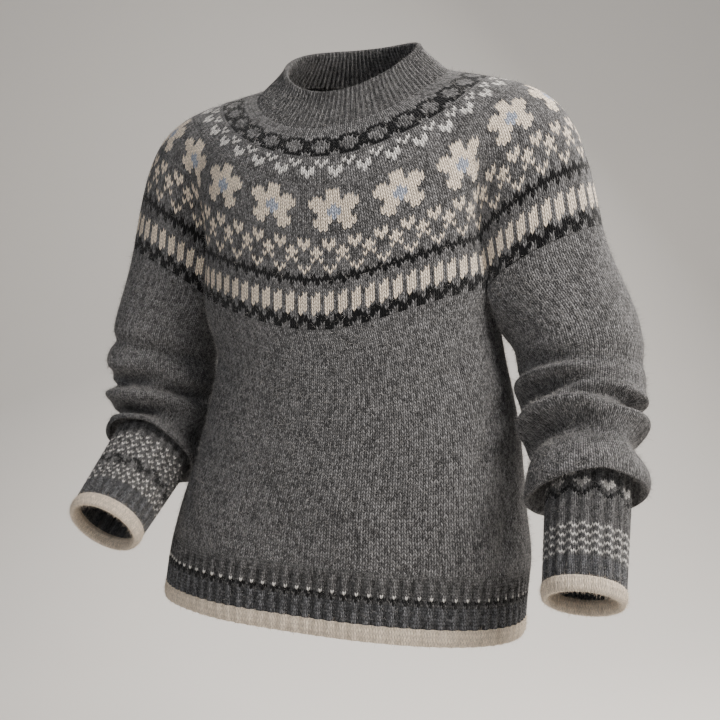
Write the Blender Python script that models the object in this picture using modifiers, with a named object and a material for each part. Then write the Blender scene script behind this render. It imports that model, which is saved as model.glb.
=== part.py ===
"""Nordic yoke sweater, filled out as if worn, with nobody in it and its sleeves bunched above the cuffs.

Metres, +Z up. The front faces -Y and the wearer's left is +X. The origin is the middle of the neck base, where
the neckband meets the yoke. Every piece is a loft of open sections, thickened inwards to a wall of knitted wool.
"""

from collections import namedtuple

import bpy
import numpy as np

# ---------------------------------------------------------------- driving sizes
WALL = 0.0025
NECKBAND_WALL = 0.0045
SEAM = 0.0006
HALF = {"front": -1, "back": 1}
SIDE = {"left": 1, "right": -1}

FRONT_LOW = -0.286
BACK_LOW = -0.268
FOLD_LOW = -0.238
SLEEVE_LOW = -0.166
SLEEVE_OUT = 0.305
UNDERARM_LOW = -0.278
FOLD_PLACE = 0.80
GROOVE_DEPTH = 0.014
GROOVE_WIDTH = 0.024
GROOVE_LEAN = 0.045
SQUARENESS = 2.3

RIB_TOP = -0.553
EDGE_TOP = -0.614
HEM_LOW = -0.633
HEM_TILT = -0.045

ARMHOLE_BLEND = 0.40
FOLD_TURN = np.radians(138)
CUFF_EDGE = 0.016

# Segments round and along the pieces of faceted cloth.
ARC_STEPS = {"front": 14, "left": 12, "back": 14, "right": 12}
UNDERARM_STEPS = 2
YOKE_STEPS = 8
TORSO_STEPS = 9
RIB_STEPS = 2
SLEEVE_STEPS = 19
CUFF_STEPS = 3
NECKBAND_STEPS = 36

# ---------------------------------------------------------------- tables
# The neck's two loops: half width, half depth, height, rise from front to back, and lift at the sides.
Loop = namedtuple("Loop", "half_width half_depth height slope side_lift")
NECK_BASE = Loop(0.120, 0.108, 0.000, 0.50, 0.027)
NECK_RIM = Loop(0.087, 0.079, 0.040, 0.60, 0.018)

# The torso's sections from the chest down: half width, depth before and behind the middle, sideways sway.
Section = namedtuple("Section", "z half_width front back sway")
TORSO = [
    Section(-0.150, 0.196, 0.130, 0.108, 0.000),
    Section(-0.225, 0.193, 0.129, 0.106, 0.000),
    Section(-0.270, 0.185, 0.126, 0.103, 0.000),
    Section(-0.310, 0.181, 0.124, 0.101, 0.009),
    Section(-0.357, 0.189, 0.124, 0.102, 0.011),
    Section(-0.400, 0.199, 0.124, 0.105, 0.009),
    Section(-0.450, 0.210, 0.125, 0.109, 0.003),
    Section(-0.500, 0.222, 0.125, 0.113, -0.005),
    Section(-0.550, 0.232, 0.124, 0.116, -0.010),
    Section(-0.600, 0.234, 0.122, 0.117, -0.016),
    Section(-0.660, 0.233, 0.120, 0.117, -0.020),
]

# Soft upright folds of the torso: where on its half (-1 to 1, from the wearer's right seam to the left), how
# wide, how far they stand out (negative: sink in) and the heights between which they fade in and out.
TorsoFold = namedtuple("TorsoFold", "half place width depth top bottom")
TORSO_FOLDS = [
    TorsoFold("front", -0.74, 0.10, -0.007, -0.40, -0.63),
    TorsoFold("front", 0.80, 0.09, -0.007, -0.36, -0.62),
    TorsoFold("front", -0.34, 0.16, 0.004, -0.44, -0.70),
    TorsoFold("front", 0.42, 0.13, -0.004, -0.42, -0.66),
    TorsoFold("front", 0.10, 0.14, 0.003, -0.33, -0.60),
    TorsoFold("back", -0.66, 0.10, -0.008, -0.33, -0.66),
    TorsoFold("back", -0.22, 0.14, 0.005, -0.30, -0.62),
    TorsoFold("back", 0.24, 0.12, -0.006, -0.36, -0.68),
    TorsoFold("back", 0.62, 0.11, 0.006, -0.42, -0.66),
]

# The yoke's lower edge in four arcs: the neck angle at each one's middle, and the angle from there to place 1.
Arc = namedtuple("Arc", "middle spread")
ARCS = {
    "front": Arc(-90, 55),
    "left": Arc(1.5, 36.5),
    "back": Arc(90, -52),
    "right": Arc(178.5, -36.5),
}

# How the cloth leaves the neck towards each side: its slope below level, and the reach of that direction.
Leaving = namedtuple("Leaving", "slope reach")
LEAVING = {"front": Leaving(50, 0.060), "side": Leaving(8, 0.150), "back": Leaving(35, 0.070)}

# Each arm's sections from the armhole to the cuff: the middle (outwards, to the back, up), and the half widths
# across the arm and along its swing. The last two lie on the cuff's own axis.
ArmSection = namedtuple("ArmSection", "out back up across along")
ARMS = {
    "left": [
        ArmSection(0.246, 0.003, -0.200, 0.066, 0.076),
        ArmSection(0.264, 0.000, -0.240, 0.068, 0.076),
        ArmSection(0.274, -0.002, -0.285, 0.071, 0.076),
        ArmSection(0.281, -0.006, -0.320, 0.072, 0.076),
        ArmSection(0.282, -0.014, -0.350, 0.071, 0.074),
        ArmSection(0.283, -0.026, -0.377, 0.069, 0.072),
        ArmSection(0.287, -0.040, -0.401, 0.067, 0.069),
        ArmSection(0.293, -0.053, -0.420, 0.062, 0.064),
        ArmSection(0.2967, -0.0617, -0.4338, 0.056, 0.057),
        ArmSection(0.2970, -0.0680, -0.4440, 0.0460, 0.0460),
    ],
    "right": [
        ArmSection(0.246, 0.003, -0.200, 0.068, 0.076),
        ArmSection(0.258, 0.002, -0.240, 0.070, 0.076),
        ArmSection(0.262, 0.000, -0.290, 0.071, 0.075),
        ArmSection(0.265, -0.003, -0.325, 0.072, 0.075),
        ArmSection(0.264, -0.007, -0.352, 0.071, 0.073),
        ArmSection(0.262, -0.013, -0.379, 0.069, 0.070),
        ArmSection(0.260, -0.021, -0.404, 0.064, 0.065),
        ArmSection(0.2577, -0.0306, -0.4232, 0.0595, 0.060),
        ArmSection(0.2590, -0.0424, -0.4340, 0.0530, 0.0530),
    ],
}

# The bunched sleeves' creases: how far along the arm (0 to 1), how much further along at the body's side, how
# deep and how long, and how the depth fades away from one turn of the arm (0 outwards, -90 to the front).
Crease = namedtuple("Crease", "at drop depth length turn fade")
CREASES = {
    "left": [
        Crease(0.50, 0.08, 0.005, 0.035, -150, 0.7),
        Crease(0.725, 0.03, 0.014, 0.030, -30, 0.35),
        Crease(0.885, -0.02, 0.010, 0.022, -60, 0.35),
    ],
    "right": [
        Crease(0.42, 0.06, 0.006, 0.035, 20, 0.7),
        Crease(0.64, 0.10, 0.012, 0.030, -40, 0.35),
        Crease(0.80, 0.10, 0.012, 0.026, -50, 0.35),
    ],
}

# The cuffs: the middle of the top and of the open end, and the radius at each.
Cuff = namedtuple("Cuff", "top end top_radius end_radius")
CUFFS = {
    "left": Cuff((0.2970, -0.0680, -0.4440), (0.3000, -0.1430, -0.5660), 0.0460, 0.0420),
    "right": Cuff((0.2590, -0.0424, -0.4340), (0.2700, -0.1400, -0.5230), 0.0530, 0.0460),
}

Wool = namedtuple("Wool", "name colour roughness")
HEATHER = Wool("heather_wool", (0.115, 0.105, 0.102), 0.95)
YOKE_WOOL = Wool("yoke_wool", (0.125, 0.115, 0.112), 0.95)
RIB_WOOL = Wool("rib_wool", (0.098, 0.092, 0.092), 0.95)
CREAM_WOOL = Wool("cream_wool", (0.62, 0.53, 0.43), 0.95)


# ---------------------------------------------------------------- curves
def through(keys, values, at):
    """A smooth curve through the values: cubic Hermite pieces with the mean slope at each key."""
    keys = np.asarray(keys, float)
    values = np.asarray(values, float)
    at = np.asarray(at, float)
    slopes = np.gradient(values, keys, axis=0)
    low = np.clip(np.searchsorted(keys, at, side="right") - 1, 0, len(keys) - 2)
    step = keys[low + 1] - keys[low]
    t = (at - keys[low]) / step
    if values.ndim > 1:
        step = step[..., None]
        t = t[..., None]
    passed = values[low] * (1 + 2 * t) * (1 - t) ** 2 + values[low + 1] * (3 - 2 * t) * t**2
    return passed + step * t * (1 - t) * (slopes[low] * (1 - t) - slopes[low + 1] * t)


def bezier(start, leave, arrive, end, t):
    t = np.asarray(t)[..., None]
    return start * (1 - t) ** 3 + 3 * leave * t * (1 - t) ** 2 + 3 * arrive * t**2 * (1 - t) + end * t**3


def ease(value):
    value = np.clip(value, 0, 1)
    return value * value * (3 - 2 * value)


def unit(vectors):
    return vectors / np.linalg.norm(vectors, axis=-1, keepdims=True)


def signed_power(value, exponent):
    return np.sign(value) * np.abs(value) ** exponent


def lengths_along(points):
    steps = np.linalg.norm(np.diff(points, axis=0), axis=1)
    return np.concatenate([[0], np.cumsum(steps)])


def point(x, y, z):
    return np.stack(np.broadcast_arrays(x, y, z), axis=-1)


# ---------------------------------------------------------------- neck
def neck_loop(loop, angle):
    x = loop.half_width * np.cos(angle)
    y = loop.half_depth * np.sin(angle)
    return point(x, y, loop.height + loop.slope * y + loop.side_lift * np.cos(angle) ** 2)


def neckband(angle, rise):
    """Points on the band, which flares from the rim out to the neck base."""
    base = neck_loop(NECK_BASE, angle)
    rim = neck_loop(NECK_RIM, angle)
    inwards = 1 - (1 - rise) ** 1.3
    mixed = base + (rim - base) * inwards[..., None]
    mixed[..., 2] = base[..., 2] + (rim[..., 2] - base[..., 2]) * rise
    return mixed


# ---------------------------------------------------------------- torso
def section_angle(place):
    """The section's own angle, 0 at its middle, for a place measured along its length."""
    angles = np.linspace(0, np.pi / 2, 400)
    x = TORSO[0].half_width * signed_power(np.sin(angles), 2 / SQUARENESS)
    y = TORSO[0].front * signed_power(np.cos(angles), 2 / SQUARENESS)
    along = lengths_along(point(x, y, 0))
    return np.sign(place) * np.interp(np.abs(place), along / along[-1], angles)


def torso(half, place, z):
    """Points on the torso's front or back, at places from -1 to 1 across it and heights z."""
    rows = TORSO[::-1]
    heights = [row.z for row in rows]
    width = through(heights, [row.half_width for row in rows], z)
    depth = through(heights, [getattr(row, half) for row in rows], z)
    sway = through(heights, [row.sway for row in rows], z)
    angle = section_angle(place)
    x = signed_power(np.sin(angle), 2 / SQUARENESS)
    y = HALF[half] * signed_power(np.cos(angle), 2 / SQUARENESS)
    out = unit(point(x * depth, y * width, 0))
    fold = 0
    for row in TORSO_FOLDS:
        if row.half == half:
            across = np.exp(-(((place - row.place) / row.width) ** 2))
            middle = (row.top + row.bottom) / 2
            reach = (row.top - row.bottom) / 2
            fold = fold + row.depth * across * np.clip(1 - ((z - middle) / reach) ** 2, 0, 1) ** 2
    return point(x * width + sway, y * depth, z) + out * np.asarray(fold)[..., None]


def torso_top(half, place):
    """The height of the torso's upper edge: along the yoke, then down round the underarm."""
    low = FRONT_LOW if half == "front" else BACK_LOW
    towards_fold = np.abs(place) / FOLD_PLACE
    along_yoke = low + (FOLD_LOW - low) * ease(towards_fold * 0.85) / ease(0.85)
    round_arm = np.sin(np.pi / 2 * np.clip((np.abs(place) - FOLD_PLACE) / (1 - FOLD_PLACE), 0, 1))
    return np.where(towards_fold <= 1, along_yoke, FOLD_LOW + (UNDERARM_LOW - FOLD_LOW) * round_arm)


def hem_level(z, x):
    return z + HEM_TILT * x


# ---------------------------------------------------------------- yoke
def over_arm(side, place):
    """Points on the yoke's edge over one arm, at places from -1 (front fold) to 1 (back fold)."""
    halves = []
    share = np.linspace(0, 1, 200)
    outermost = np.array([SLEEVE_OUT, 0, SLEEVE_LOW])
    for half, sign in HALF.items():
        fold = torso(half, np.array(FOLD_PLACE), torso_top(half, np.array(FOLD_PLACE)))
        leave = outermost + (0, sign * 0.062, 0)
        arrive = fold + (0.034, sign * 0.030, 0)
        curve = bezier(outermost, leave, arrive, fold, share)
        curve[:, 2] = SLEEVE_LOW + (FOLD_LOW - SLEEVE_LOW) * share**1.6
        along = lengths_along(curve)
        halves.append([np.interp(np.abs(place), along / along[-1], curve[:, axis]) for axis in range(3)])
    front, back = (np.stack(half, axis=-1) for half in halves)
    return np.where(np.asarray(place)[..., None] < 0, front, back) * (SIDE[side], 1, 1)


def yoke_edge(arc, place):
    if arc in SIDE:
        return over_arm(arc, place)
    return torso(arc, place * FOLD_PLACE, torso_top(arc, place * FOLD_PLACE))


def yoke(arc, place, down):
    """Points on the yoke, at places from -1 to 1 along one arc and from the neck (0) down to the edge (1)."""
    angle = np.radians(ARCS[arc].middle + ARCS[arc].spread * place)
    across = np.cos(angle) ** 2
    toward_slope = np.where(np.sin(angle) < 0, LEAVING["front"].slope, LEAVING["back"].slope)
    toward_reach = np.where(np.sin(angle) < 0, LEAVING["front"].reach, LEAVING["back"].reach)
    slope = np.radians(LEAVING["side"].slope * across + toward_slope * (1 - across))
    reach = LEAVING["side"].reach * across + toward_reach * (1 - across)
    leaving = point(np.cos(angle) * np.cos(slope), np.sin(angle) * np.cos(slope), -np.sin(slope))
    over = 1 - place**2 if arc in SIDE else 0 * place
    arriving = unit(point(0.20 * over * SIDE.get(arc, 0), 0, -1))
    start = neck_loop(NECK_BASE, angle)
    end = yoke_edge(arc, place)
    handle = (0.110 + 0.028 * over)[..., None]
    surface = bezier(start, start + leaving * reach[..., None], end - arriving * handle, end, down)
    return surface + groove(arc, place, down, end)


def groove(arc, place, down, edge):
    """The hollow that runs up and outwards from each end of the underarm, between torso and sleeve."""
    past_fold = (1 - np.abs(place)) * (0.14 if arc in SIDE else -0.16)
    across = np.exp(-(((past_fold - GROOVE_LEAN * (1 - down)) / GROOVE_WIDTH) ** 2))
    depth = GROOVE_DEPTH * across * np.sin(np.pi * np.clip((down - 0.25) / 0.75, 0, 1) ** 1.4) ** 2
    inwards = unit(point(0.12 * np.sign(edge[..., 0]) - edge[..., 0], -edge[..., 1], 0))
    return inwards * depth[..., None]


# ---------------------------------------------------------------- sleeves
def arm_frame(side, along):
    """The arm's middle, its axes outwards, backwards and onwards, and its half widths."""
    rows = ARMS[side]
    middles = np.array([(row.out, row.back, row.up) for row in rows])
    keys = lengths_along(middles) / lengths_along(middles)[-1]
    middle = through(keys, middles, along)
    onwards = unit(through(keys, middles, along + 0.01) - through(keys, middles, along - 0.01))
    outwards = unit(np.array([1.0, 0, 0]) - onwards * onwards[..., :1])
    backwards = np.cross(outwards, onwards)
    across = through(keys, [row.across for row in rows], along)
    swing = through(keys, [row.along for row in rows], along)
    return middle, outwards, backwards, onwards, across[..., None], swing[..., None]


def armhole(side, turn):
    """Points on the sleeve's upper edge: along the yoke, then round the underarm just clear of the torso."""
    over = over_arm(side, np.clip(turn / FOLD_TURN, -1, 1)) * (SIDE[side], 1, 1)
    share = np.clip((np.abs(turn) - FOLD_TURN) / (np.pi - FOLD_TURN), 0, 1)
    place = FOLD_PLACE + (1 - FOLD_PLACE) * share
    halves = []
    for half in HALF:
        under = torso(half, SIDE[side] * place, torso_top(half, place)) * (SIDE[side], 1, 1)
        halves.append(under)
    under = np.where(turn[..., None] < 0, halves[0], halves[1])
    clear = 2 * SEAM * ease(1 - np.cos(turn))
    return np.where(share[..., None] > 0, under, over) + point(clear, 0, 0)


def sleeve(side, turn, along):
    """Points on a sleeve, round the arm (0 outwards, positive to the back) and along it from the yoke."""
    cos, sin = np.cos(turn)[..., None], np.sin(turn)[..., None]

    def tube(at):
        middle, outwards, backwards, onwards, across, swing = arm_frame(side, at)
        return middle + outwards * cos * across + backwards * sin * swing, onwards

    tubed, _ = tube(np.maximum(along, ARMHOLE_BLEND))
    joined, onwards = tube(np.full_like(along, ARMHOLE_BLEND))
    top = armhole(side, turn)
    handle = np.linalg.norm(joined - top, axis=-1, keepdims=True) * 0.36
    leaving = unit(point(0.04 + 0.16 * np.clip(np.cos(turn), 0, 1), 0, -1))
    blended = bezier(top, top + leaving * handle, joined - onwards * handle, joined, along / ARMHOLE_BLEND)
    surface = np.where(along[..., None] < ARMHOLE_BLEND, blended, tubed)
    _, outwards, backwards, _, _, _ = arm_frame(side, along)
    crease = sum(crease_depth(row, turn, along) for row in CREASES[side])
    surface = surface - (outwards * cos + backwards * sin) * crease[..., None]
    return surface * (SIDE[side], 1, 1)


def crease_depth(row, turn, along):
    """How far one crease sinks in. It dips on its way round to the body's side of the arm."""
    at = row.at + row.drop * (1 - np.cos(turn)) / 2
    facing = (1 + np.cos(turn - np.radians(row.turn))) / 2
    strength = row.fade + (1 - row.fade) * facing
    return row.depth * strength * np.exp(-(((along - at) / row.length) ** 2))


def cuff(side, turn, down):
    """Points on a cuff, round it and down it from the sleeve (0) to the open end (1)."""
    row = CUFFS[side]
    top, end = np.array(row.top), np.array(row.end)
    onwards = unit(end - top)
    outwards = unit(np.array([1.0, 0, 0]) - onwards * onwards[0])
    backwards = np.cross(outwards, onwards)
    radius = (row.top_radius + (row.end_radius - row.top_radius) * down)[..., None]
    ring = outwards * np.cos(turn)[..., None] + backwards * np.sin(turn)[..., None]
    return (top + (end - top) * down[..., None] + ring * radius) * (SIDE[side], 1, 1)


# ---------------------------------------------------------------- making the pieces
def add_wool(wool):
    material = bpy.data.materials.new(wool.name)
    material.use_nodes = True
    shader = material.node_tree.nodes["Principled BSDF"]
    shader.inputs["Base Color"].default_value = (*wool.colour, 1)
    shader.inputs["Roughness"].default_value = wool.roughness
    shader.inputs["Metallic"].default_value = 0
    return material


def add_cloth(name, grid, wool, collection, wall=WALL, ring=False, mirrored=False):
    """One piece: a grid of points in rows downwards and places counterclockwise, thickened inwards."""
    rows, places = grid.shape[:2]
    faces = []
    for row in range(rows - 1):
        for place in range(places if ring else places - 1):
            after = (place + 1) % places
            corners = [row * places + place, (row + 1) * places + place]
            corners += [(row + 1) * places + after, row * places + after]
            faces.append(corners[::-1] if mirrored else corners)
    mesh = bpy.data.meshes.new(name)
    mesh.from_pydata(grid.reshape(-1, 3).tolist(), [], faces)
    mesh.materials.append(wool)
    mesh.shade_smooth()
    piece = bpy.data.objects.new(name, mesh)
    collection.objects.link(piece)
    solidify = piece.modifiers.new("wall", "SOLIDIFY")
    solidify.thickness = wall
    solidify.offset = -1
    return piece


def steps_between(low, high, steps):
    return np.linspace(low, high, steps + 1)


def build_neckband(wool, collection):
    angles = np.linspace(-np.pi, np.pi, NECKBAND_STEPS, endpoint=False)
    rises = np.array([1.0, 0.66, 0.33, 0.0])
    angle, rise = np.meshgrid(angles, rises)
    band = neckband(angle, rise) + (0, 0, 2 * SEAM)
    add_cloth("neckband", band, wool, collection, wall=NECKBAND_WALL, ring=True)


def build_yoke(wool, collection):
    """The round yoke, from the neck base to the chest, the back and over both arms."""
    trim = 2 * SEAM / (NECK_BASE.height - FRONT_LOW)
    downs = steps_between(0, 1 - trim, YOKE_STEPS)
    strips = []
    for arc, steps in ARC_STEPS.items():
        ends = (-1, 1) if arc in ("front", "left") else (1, -1)
        place, down = np.meshgrid(steps_between(*ends, steps)[:-1], downs)
        strips.append(yoke(arc, place, down))
    add_cloth("yoke", np.concatenate(strips, axis=1), wool, collection, ring=True)


def torso_places(half):
    """Places across one half of the torso, with a point at each end of the yoke's edge."""
    seam = 1 - SEAM / TORSO[0].half_width
    underarm = steps_between(FOLD_PLACE, seam, UNDERARM_STEPS)[1:]
    middle = steps_between(-FOLD_PLACE, FOLD_PLACE, ARC_STEPS[half])
    places = np.concatenate([-underarm[::-1], middle, underarm])
    return places if half == "front" else places[::-1]


def build_panels(wool, collection):
    for half in HALF:
        places = torso_places(half)
        place, down = np.meshgrid(places, steps_between(0, 1, TORSO_STEPS))
        top = torso_top(half, place)
        bottom = hem_level(RIB_TOP, torso(half, place, RIB_TOP + 0 * place)[..., 0]) + SEAM
        add_cloth(half, torso(half, place, top + (bottom - top) * down), wool, collection)


def build_hem(name, top, bottom, steps, wool, collection):
    """One band right round the hem."""
    strips = []
    for half in HALF:
        places = steps_between(-1, 1, ARC_STEPS[half] + 2 * UNDERARM_STEPS)[:-1]
        place, z = np.meshgrid(places if half == "front" else -places, steps_between(top, bottom, steps))
        strips.append(torso(half, place, hem_level(z, torso(half, place, z)[..., 0])))
    add_cloth(name, np.concatenate(strips, axis=1), wool, collection, ring=True)


def build_sleeve(side, wool, collection):
    over = steps_between(-FOLD_TURN, FOLD_TURN, ARC_STEPS[side])
    under = steps_between(FOLD_TURN, 2 * np.pi - FOLD_TURN, 2 * UNDERARM_STEPS)[1:-1]
    turns = np.concatenate([over, np.where(under > np.pi, under - 2 * np.pi, under)])
    turn, along = np.meshgrid(turns, steps_between(SEAM, 1, SLEEVE_STEPS))
    add_cloth(f"sleeve_{side}", sleeve(side, turn, along), wool, collection, ring=True, mirrored=side == "right")


def build_cuff(side, rib, cream, collection):
    row = CUFFS[side]
    length = np.linalg.norm(np.subtract(row.end, row.top))
    steps = ARC_STEPS[side] + 2 * UNDERARM_STEPS
    turns = np.linspace(-np.pi, np.pi, steps, endpoint=False)
    edge = 1 - CUFF_EDGE / length
    stretches = {
        f"cuff_{side}": (3 * SEAM / length, edge - SEAM / length, CUFF_STEPS, rib),
        f"cuff_edge_{side}": (edge, 1, 1, cream),
    }
    for name, (low, high, rows, wool) in stretches.items():
        turn, down = np.meshgrid(turns, steps_between(low, high, rows))
        add_cloth(name, cuff(side, turn, down), wool, collection, ring=True, mirrored=side == "right")


def main():
    for leftover in list(bpy.data.objects):
        bpy.data.objects.remove(leftover)
    collection = bpy.data.collections.new("nordic_yoke_sweater")
    bpy.context.scene.collection.children.link(collection)
    heather = add_wool(HEATHER)
    rib = add_wool(RIB_WOOL)
    cream = add_wool(CREAM_WOOL)
    build_neckband(rib, collection)
    build_yoke(add_wool(YOKE_WOOL), collection)
    build_panels(heather, collection)
    build_hem("hem_rib", RIB_TOP, EDGE_TOP + SEAM, RIB_STEPS, rib, collection)
    build_hem("hem_edge", EDGE_TOP, HEM_LOW, 1, cream, collection)
    for side in SIDE:
        build_sleeve(side, heather, collection)
        build_cuff(side, rib, cream, collection)


main()
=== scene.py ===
# %% [markdown]
# # A nordic yoke sweater, filled out with nobody in it
# This notebook dresses a imported CAD frame of a sweater in knitted wool. The real one is a thick
# heather-grey pullover, knitted in rounds, with a round yoke in cream, white, black and pale blue.
# The cloth is modelled: each piece is a grid of stitches that follows the same curves as its
# CAD solid. A cloth simulation could drape it too, but here it would need a body inside to hold it
# out, and it would lose the columns of stitches that the yoke's pattern is drawn with.

# %% Load the frame
from collections import namedtuple
import math

import bpy
import numpy as np
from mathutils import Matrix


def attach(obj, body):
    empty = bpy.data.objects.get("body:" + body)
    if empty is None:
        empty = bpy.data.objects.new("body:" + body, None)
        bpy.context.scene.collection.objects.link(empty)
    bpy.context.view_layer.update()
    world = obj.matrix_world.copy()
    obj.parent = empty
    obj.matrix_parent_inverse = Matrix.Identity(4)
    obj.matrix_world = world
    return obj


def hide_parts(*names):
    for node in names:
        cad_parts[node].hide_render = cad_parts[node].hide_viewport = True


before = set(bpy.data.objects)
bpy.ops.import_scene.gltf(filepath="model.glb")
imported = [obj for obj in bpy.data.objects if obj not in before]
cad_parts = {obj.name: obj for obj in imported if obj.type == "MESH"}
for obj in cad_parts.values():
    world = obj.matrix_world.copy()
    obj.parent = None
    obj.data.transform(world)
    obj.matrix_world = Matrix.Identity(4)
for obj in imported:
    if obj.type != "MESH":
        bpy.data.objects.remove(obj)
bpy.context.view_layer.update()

# %% [markdown]
# ## Sizes shared with the frame
# The scene can't read the CAD source, so the driving sizes and tables are repeated here, in metres.
# The front faces -Y and the wearer's left is +X. The origin is the middle of the neck base.

# %% Driving sizes
WALL = 0.0025
SEAM = 0.0006
HALF = {"front": -1, "back": 1}
SIDE = {"left": 1, "right": -1}
FRONT_LOW, BACK_LOW, FOLD_LOW = -0.286, -0.268, -0.238
SLEEVE_LOW, SLEEVE_OUT, UNDERARM_LOW = -0.166, 0.305, -0.278
FOLD_PLACE = 0.80
GROOVE_DEPTH, GROOVE_WIDTH, GROOVE_LEAN = 0.014, 0.024, 0.045
SQUARENESS = 2.3
RIB_TOP, EDGE_TOP, HEM_LOW, HEM_TILT = -0.553, -0.614, -0.633, -0.045
ARMHOLE_BLEND = 0.40
FOLD_TURN = math.radians(138)
CUFF_EDGE = 0.016
COURSE = 0.0042  # one round is this tall
EDGE_COURSE = 0.0062  # and one round of the thick cream edges
V_DEPTH = 0.85  # the middle of a stitch hangs this many rounds below its edges
LAP = 0.0002  # a piece passes the next one's edge by this much
SPAN = 0.26  # from a half's middle to its side seam, for placing creases

# %% Neck loops and torso sections
Loop = namedtuple("Loop", "half_width half_depth height slope side_lift")
NECK_BASE = Loop(0.120, 0.108, 0.000, 0.50, 0.027)
NECK_RIM = Loop(0.087, 0.079, 0.040, 0.60, 0.018)

Section = namedtuple("Section", "z half_width front back sway")
TORSO = [Section(*row) for row in (
    (-0.150, 0.196, 0.130, 0.108, 0.000),
    (-0.225, 0.193, 0.129, 0.106, 0.000),
    (-0.270, 0.185, 0.126, 0.103, 0.000),
    (-0.310, 0.181, 0.124, 0.101, 0.009),
    (-0.357, 0.189, 0.124, 0.102, 0.011),
    (-0.400, 0.199, 0.124, 0.105, 0.009),
    (-0.450, 0.210, 0.125, 0.109, 0.003),
    (-0.500, 0.222, 0.125, 0.113, -0.005),
    (-0.550, 0.232, 0.124, 0.116, -0.010),
    (-0.600, 0.234, 0.122, 0.117, -0.016),
    (-0.660, 0.233, 0.120, 0.117, -0.020),
)]

# Upright folds: the place on the half (-1 to 1), width, how far out, and where each fades in and out.
TorsoFold = namedtuple("TorsoFold", "half place width depth top bottom")
TORSO_FOLDS = [TorsoFold(*row) for row in (
    ("front", -0.74, 0.10, -0.007, -0.40, -0.63),
    ("front", 0.80, 0.09, -0.007, -0.36, -0.62),
    ("front", -0.34, 0.16, 0.004, -0.44, -0.70),
    ("front", 0.42, 0.13, -0.004, -0.42, -0.66),
    ("front", 0.10, 0.14, 0.003, -0.33, -0.60),
    ("back", -0.66, 0.10, -0.008, -0.33, -0.66),
    ("back", -0.22, 0.14, 0.005, -0.30, -0.62),
    ("back", 0.24, 0.12, -0.006, -0.36, -0.68),
    ("back", 0.62, 0.11, 0.006, -0.42, -0.66),
)]

# %% Yoke arcs, arms and cuffs
Arc = namedtuple("Arc", "middle spread")
ARCS = {
    "front": Arc(-90, 55),
    "left": Arc(1.5, 36.5),
    "back": Arc(90, -52),
    "right": Arc(178.5, -36.5),
}
Leaving = namedtuple("Leaving", "slope reach")
LEAVING = {"front": Leaving(50, 0.060), "side": Leaving(8, 0.150), "back": Leaving(35, 0.070)}

ArmSection = namedtuple("ArmSection", "out back up across along")
ARMS = {
    "left": (
        (0.246, 0.003, -0.200, 0.066, 0.076),
        (0.264, 0.000, -0.240, 0.068, 0.076),
        (0.274, -0.002, -0.285, 0.071, 0.076),
        (0.281, -0.006, -0.320, 0.072, 0.076),
        (0.282, -0.014, -0.350, 0.071, 0.074),
        (0.283, -0.026, -0.377, 0.069, 0.072),
        (0.287, -0.040, -0.401, 0.067, 0.069),
        (0.293, -0.053, -0.420, 0.062, 0.064),
        (0.2967, -0.0617, -0.4338, 0.056, 0.057),
        (0.2970, -0.0680, -0.4440, 0.046, 0.046),
    ),
    "right": (
        (0.246, 0.003, -0.200, 0.068, 0.076),
        (0.258, 0.002, -0.240, 0.070, 0.076),
        (0.262, 0.000, -0.290, 0.071, 0.075),
        (0.265, -0.003, -0.325, 0.072, 0.075),
        (0.264, -0.007, -0.352, 0.071, 0.073),
        (0.262, -0.013, -0.379, 0.069, 0.070),
        (0.260, -0.021, -0.404, 0.064, 0.065),
        (0.2577, -0.0306, -0.4232, 0.0595, 0.060),
        (0.259, -0.0424, -0.434, 0.053, 0.053),
    ),
}
ARMS = {side: [ArmSection(*row) for row in rows] for side, rows in ARMS.items()}
Crease = namedtuple("Crease", "at drop depth length turn fade")
CREASES = {
    "left": (
        (0.50, 0.08, 0.005, 0.035, -150, 0.7),
        (0.725, 0.03, 0.014, 0.030, -30, 0.35),
        (0.885, -0.02, 0.010, 0.022, -60, 0.35),
    ),
    "right": (
        (0.42, 0.06, 0.006, 0.035, 20, 0.7),
        (0.64, 0.10, 0.012, 0.030, -40, 0.35),
        (0.80, 0.10, 0.012, 0.026, -50, 0.35),
    ),
}
CREASES = {side: [Crease(*row) for row in rows] for side, rows in CREASES.items()}
Cuff = namedtuple("Cuff", "top end top_radius end_radius")
CUFFS = {
    "left": Cuff((0.2970, -0.0680, -0.4440), (0.3000, -0.1430, -0.5660), 0.0460, 0.0420),
    "right": Cuff((0.2590, -0.0424, -0.4340), (0.2700, -0.1400, -0.5230), 0.0530, 0.0460),
}

# %% [markdown]
# ## Curves
# A few small curve helpers make every surface below. They take whole arrays of points at once, so a
# piece with tens of thousands of stitches is placed in one go.

# %% Curve helpers
def through(keys, values, at):
    """A smooth curve through the values: cubic Hermite pieces with the mean slope at each key."""
    keys, values, at = np.asarray(keys, float), np.asarray(values, float), np.asarray(at, float)
    slopes = np.gradient(values, keys, axis=0)
    low = np.clip(np.searchsorted(keys, at, side="right") - 1, 0, len(keys) - 2)
    step = keys[low + 1] - keys[low]
    t = (at - keys[low]) / step
    if values.ndim > 1:
        step, t = step[..., None], t[..., None]
    passed = values[low] * (1 + 2 * t) * (1 - t) ** 2 + values[low + 1] * (3 - 2 * t) * t**2
    return passed + step * t * (1 - t) * (slopes[low] * (1 - t) - slopes[low + 1] * t)


def bezier(start, leave, arrive, end, t):
    t = np.asarray(t)[..., None]
    middle = 3 * leave * t * (1 - t) ** 2 + 3 * arrive * t**2 * (1 - t)
    return start * (1 - t) ** 3 + middle + end * t**3


def ease(value):
    value = np.clip(value, 0, 1)
    return value * value * (3 - 2 * value)


def unit(vectors):
    return vectors / np.maximum(np.linalg.norm(vectors, axis=-1, keepdims=True), 1e-12)


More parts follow.
